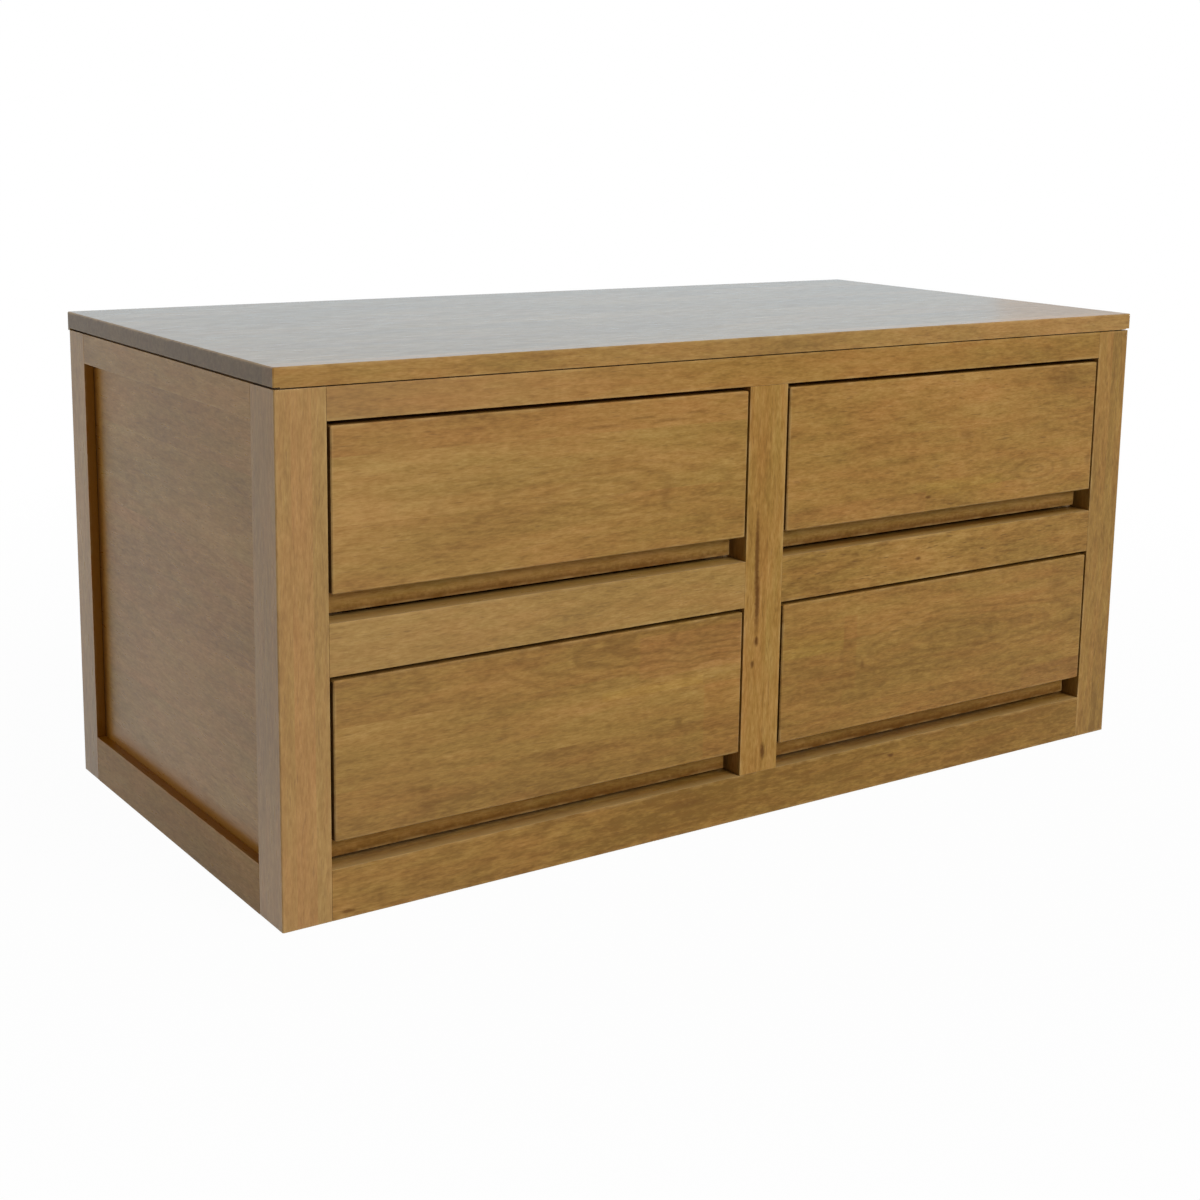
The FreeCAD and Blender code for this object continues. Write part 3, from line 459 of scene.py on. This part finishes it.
fronts = {
    "lower_left": {
        "staves": ("Z", ((0.30, 0.18, 0.3), (0.40, 0.46, 0.3), (0.30, 0.31, 0.4))),
        "shine": 1.23, "lit_from_left": 0.09,
        "marks": (
            knot(-0.0975, 0.1120, 0.0055, 0.0060, 0.4), knot(-0.1030, 0.1160, 0.0060, 0.0020, 0.4),
            knot(-0.3650, 0.0990, 0.0100, 0.0030, 0.3), knot(-0.3610, 0.0850, 0.0140, 0.0040, 0.3)),
        "flames": (flame(-0.03, 0.197, 0.30, 0.040, 6, 0.32),),
        "shorts": (
            butted(-0.083, 0.180, 0.060, 0.020, (1.03, 0.96, 1.04)),
            butted(-0.127, 0.150, 0.057, 0.0042, (1.10, 1.12, 1.05)),
            butted(-0.046, 0.108, 0.022, 0.036, (1.04, 0.97, 0.98)))},
    "lower_right": {
        "staves": ("Z", ((0.18, 0.21, 0.5), (0.49, 0.35, 0.35), (0.33, 0.30, 0.45))),
        "shine": 1.22,
        "marks": (
            knot(0.1310, 0.1330, 0.0035, 0.0070, 0.4), knot(0.4100, 0.1810, 0.0200, 0.0100, 0.25)),
        "flames": (flame(0.27, 0.146, 0.22, 0.034, 5, 0.28),),
        "shorts": (
            butted(0.0645, 0.163, 0.0405, 0.011, (1.04, 1.08, 1.00)),
            butted(0.1135, 0.148, 0.0085, 0.038, (0.98, 0.92, 0.91)),
            butted(0.0645, 0.123, 0.0405, 0.029, (1.00, 0.96, 0.97)),
            butted(0.4080, 0.081, 0.0460, 0.013, (0.97, 0.93, 1.00)))},
    "upper_left": {
        "staves": ("Z", ((0.40, 0.42, 0.4), (0.41, 0.63, 0.35), (0.19, 0.49, 0.8))),
        "shine": 1.22, "lit_from_left": 0.10,
        "marks": (
            knot(-0.1900, 0.3990, 0.0300, 0.0022, 0.3), knot(-0.1150, 0.4000, 0.0220, 0.0020, 0.35),
            knot(-0.1450, 0.4040, 0.0200, 0.0016, 0.35), knot(-0.0850, 0.4050, 0.0180, 0.0016, 0.3),
            knot(-0.1180, 0.3300, 0.0080, 0.0200, 0.2)),
        "flames": (flame(-0.20, 0.342, 0.18, 0.030, 4, 0.18),)},
    "upper_right": {
        "staves": ("Z", ((0.15, 0.41, 0.5), (0.45, 0.46, 0.5), (0.40, 0.41, 0.55))),
        "shine": 1.20, "pores": 0.5,
        "marks": (
            knot(0.2110, 0.2960, 0.0050, 0.0020, 0.8), knot(0.2620, 0.3560, 0.0130, 0.0080, 0.28),
            knot(0.4460, 0.3150, 0.0060, 0.0080, 0.35), knot(0.4050, 0.3990, 0.0200, 0.0150, 0.2)),
        "flames": (flame(0.365, 0.312, 0.06, 0.020, 3, 0.25), flame(0.500, 0.356, 0.16, 0.013, 3, 0.22)),
        "shorts": (
            butted(0.116, 0.291, 0.092, 0.0105, (1.01, 0.97, 1.03)),
            butted(0.262, 0.304, 0.054, 0.008, (1.05, 1.09, 1.02)))},
}
for cut, (drawer, look) in enumerate(fronts.items(), 81):
    name = f"{drawer}_drawer_front"
    dress(name, stained_hevea(name, "X", cut, 1.2, gloss=0.1, **look))

# Screws: zinc plated steel with countersunk heads and a cross recess. One group holds the top board, from
# below through the outer kickers, and one in each drawer holds the front to its box.
zinc = bpy.data.materials.new("zinc_plate")
zinc.use_nodes = True
tree = zinc.node_tree
plate = tree.nodes["Principled BSDF"]
cloud = mottle(tree, put(tree, "ShaderNodeTexCoord", {}).outputs["Object"], 900.0, 3.0)
tint = tones(tree, cloud, (0.3, (0.42, 0.40, 0.36)), (0.7, (0.70, 0.68, 0.62)))
tree.links.new(tint, plate.inputs["Base Color"])
tree.links.new(spread(tree, cloud, 0.3, 0.7, 0.25, 0.45), plate.inputs["Roughness"])
plate.inputs["Metallic"].default_value = 1.0
for name in ["top_screws"] + [f"{drawer}_front_screws" for drawer in drawers]:
    boards[name].data.materials.clear()
    boards[name].data.materials.append(zinc)

# Floor: a wide sheet of matt white paper under the chest. It shows white to the eye and in the lacquer, and
# it keeps a faint shadow round the foot of the chest.
sheet = bpy.data.meshes.new("floor")
half = 20.0
below = -0.0005
sheet.from_pydata(
    [(-half, -half, below), (half, -half, below), (half, half, below), (-half, half, below)],
    [], [(0, 1, 2, 3)])
floor = bpy.data.objects.new("floor", sheet)
bpy.context.scene.collection.objects.link(floor)
paper = bpy.data.materials.new("white_paper")
paper.use_nodes = True
sheet.materials.append(paper)


def seen_directly(tree):
    """One for rays from the eye, from mirror-like surfaces or through clear ones, else nought."""
    rays = put(tree, "ShaderNodeLightPath", {}).outputs
    mirrored = reckon(tree, "MAXIMUM", rays["Is Camera Ray"], rays["Is Glossy Ray"])
    return reckon(tree, "MAXIMUM", mirrored, rays["Is Transmission Ray"])


tree = paper.node_tree
matt = tree.nodes["Principled BSDF"]
fine = put(tree, "ShaderNodeTexNoise", {"Scale": 40.0, "Detail": 3.0}).outputs[0]
tree.links.new(spread(tree, fine, 0.0, 1.0, 0.53, 0.57), matt.inputs["Base Color"])
matt.inputs["Roughness"].default_value = 0.9
glow = put(tree, "ShaderNodeEmission", {"Color": (1, 1, 1, 1), "Strength": 1.0})
from_chest = measure(tree, "LENGTH", put(tree, "ShaderNodeTexCoord", {}).outputs["Object"])
white = reckon(tree, "MULTIPLY", seen_directly(tree), spread(tree, from_chest, 0.6, 1.8, 0.975, 1.0))
face = put(tree, "ShaderNodeMixShader", {0: white, 1: matt.outputs[0], 2: glow.outputs[0]})
tree.links.new(face.outputs[0], tree.nodes["Material Output"].inputs[0])

# Studio light: a white room that fills the shadows, a large soft box in front at the right, small ones at
# the left and behind for the sides and the back, and a dim bluish one that the lacquer of the top mirrors.
room = bpy.data.worlds.new("white_room")
bpy.context.scene.world = room
room.use_nodes = True
tree = room.node_tree
upward = split(tree, put(tree, "ShaderNodeTexCoord", {}).outputs["Generated"])["Z"]
walls = spread(tree, upward, 0.0, 0.8, 0.20, 0.05)
fill = reckon(tree, "MAXIMUM", walls, seen_directly(tree))
tree.links.new(fill, tree.nodes["Background"].inputs["Strength"])
tree.nodes["Background"].inputs["Color"].default_value = (1, 1, 1, 1)


def soft_box(name, place, aim, width, height, power, tint=(1.0, 1.0, 1.0)):
    """A lamp behind white cloth that faces a point of the chest."""
    lamp = bpy.data.lights.new(name, "AREA")
    lamp.shape = "RECTANGLE"
    lamp.size = width
    lamp.size_y = height
    lamp.energy = power
    lamp.color = tint
    box = bpy.data.objects.new(name, lamp)
    bpy.context.scene.collection.objects.link(box)
    box.location = place
    box.rotation_euler = (Vector(aim) - Vector(place)).to_track_quat("-Z", "Y").to_euler()
    box.visible_camera = False
    return box


soft_box("front_box", (2.0, -7.24, 5.54), (0.0, -0.24, 0.25), 4.0, 6.5, 795)
left_box = soft_box("left_box", (-2.4, 0.6, 0.7), (-0.5, 0.0, 0.25), 1.2, 1.0, 9.8)
left_box.visible_glossy = False
soft_box("rear_box", (2.5, 2.3, 0.23), (0.3, 0.1, 0.23), 2.4, 0.4, 75)
soft_box("back_box", (1.6, 3.0, 0.75), (0.0, 0.0, 0.45), 3.0, 1.0, 3.5, (0.0, 0.60, 1.0))

# Camera: at the left in front of the chest and a little above it, as the photograph was taken. The lens is
# shifted, because the photograph seems to be cut off-centre from a larger picture.
lens = bpy.data.cameras.new("camera")
lens.sensor_width = 36.0
lens.lens = 56.446
lens.shift_x = -0.0417
lens.shift_y = -0.1083
camera = bpy.data.objects.new("camera", lens)
bpy.context.scene.collection.objects.link(camera)
camera.location = (-1.1078, -1.5923, 0.6624)
camera.rotation_euler = [math.radians(turn) for turn in (79.564, -1.105, -35.481)]
bpy.context.scene.camera = camera
bpy.context.scene.view_settings.view_transform = "Standard"
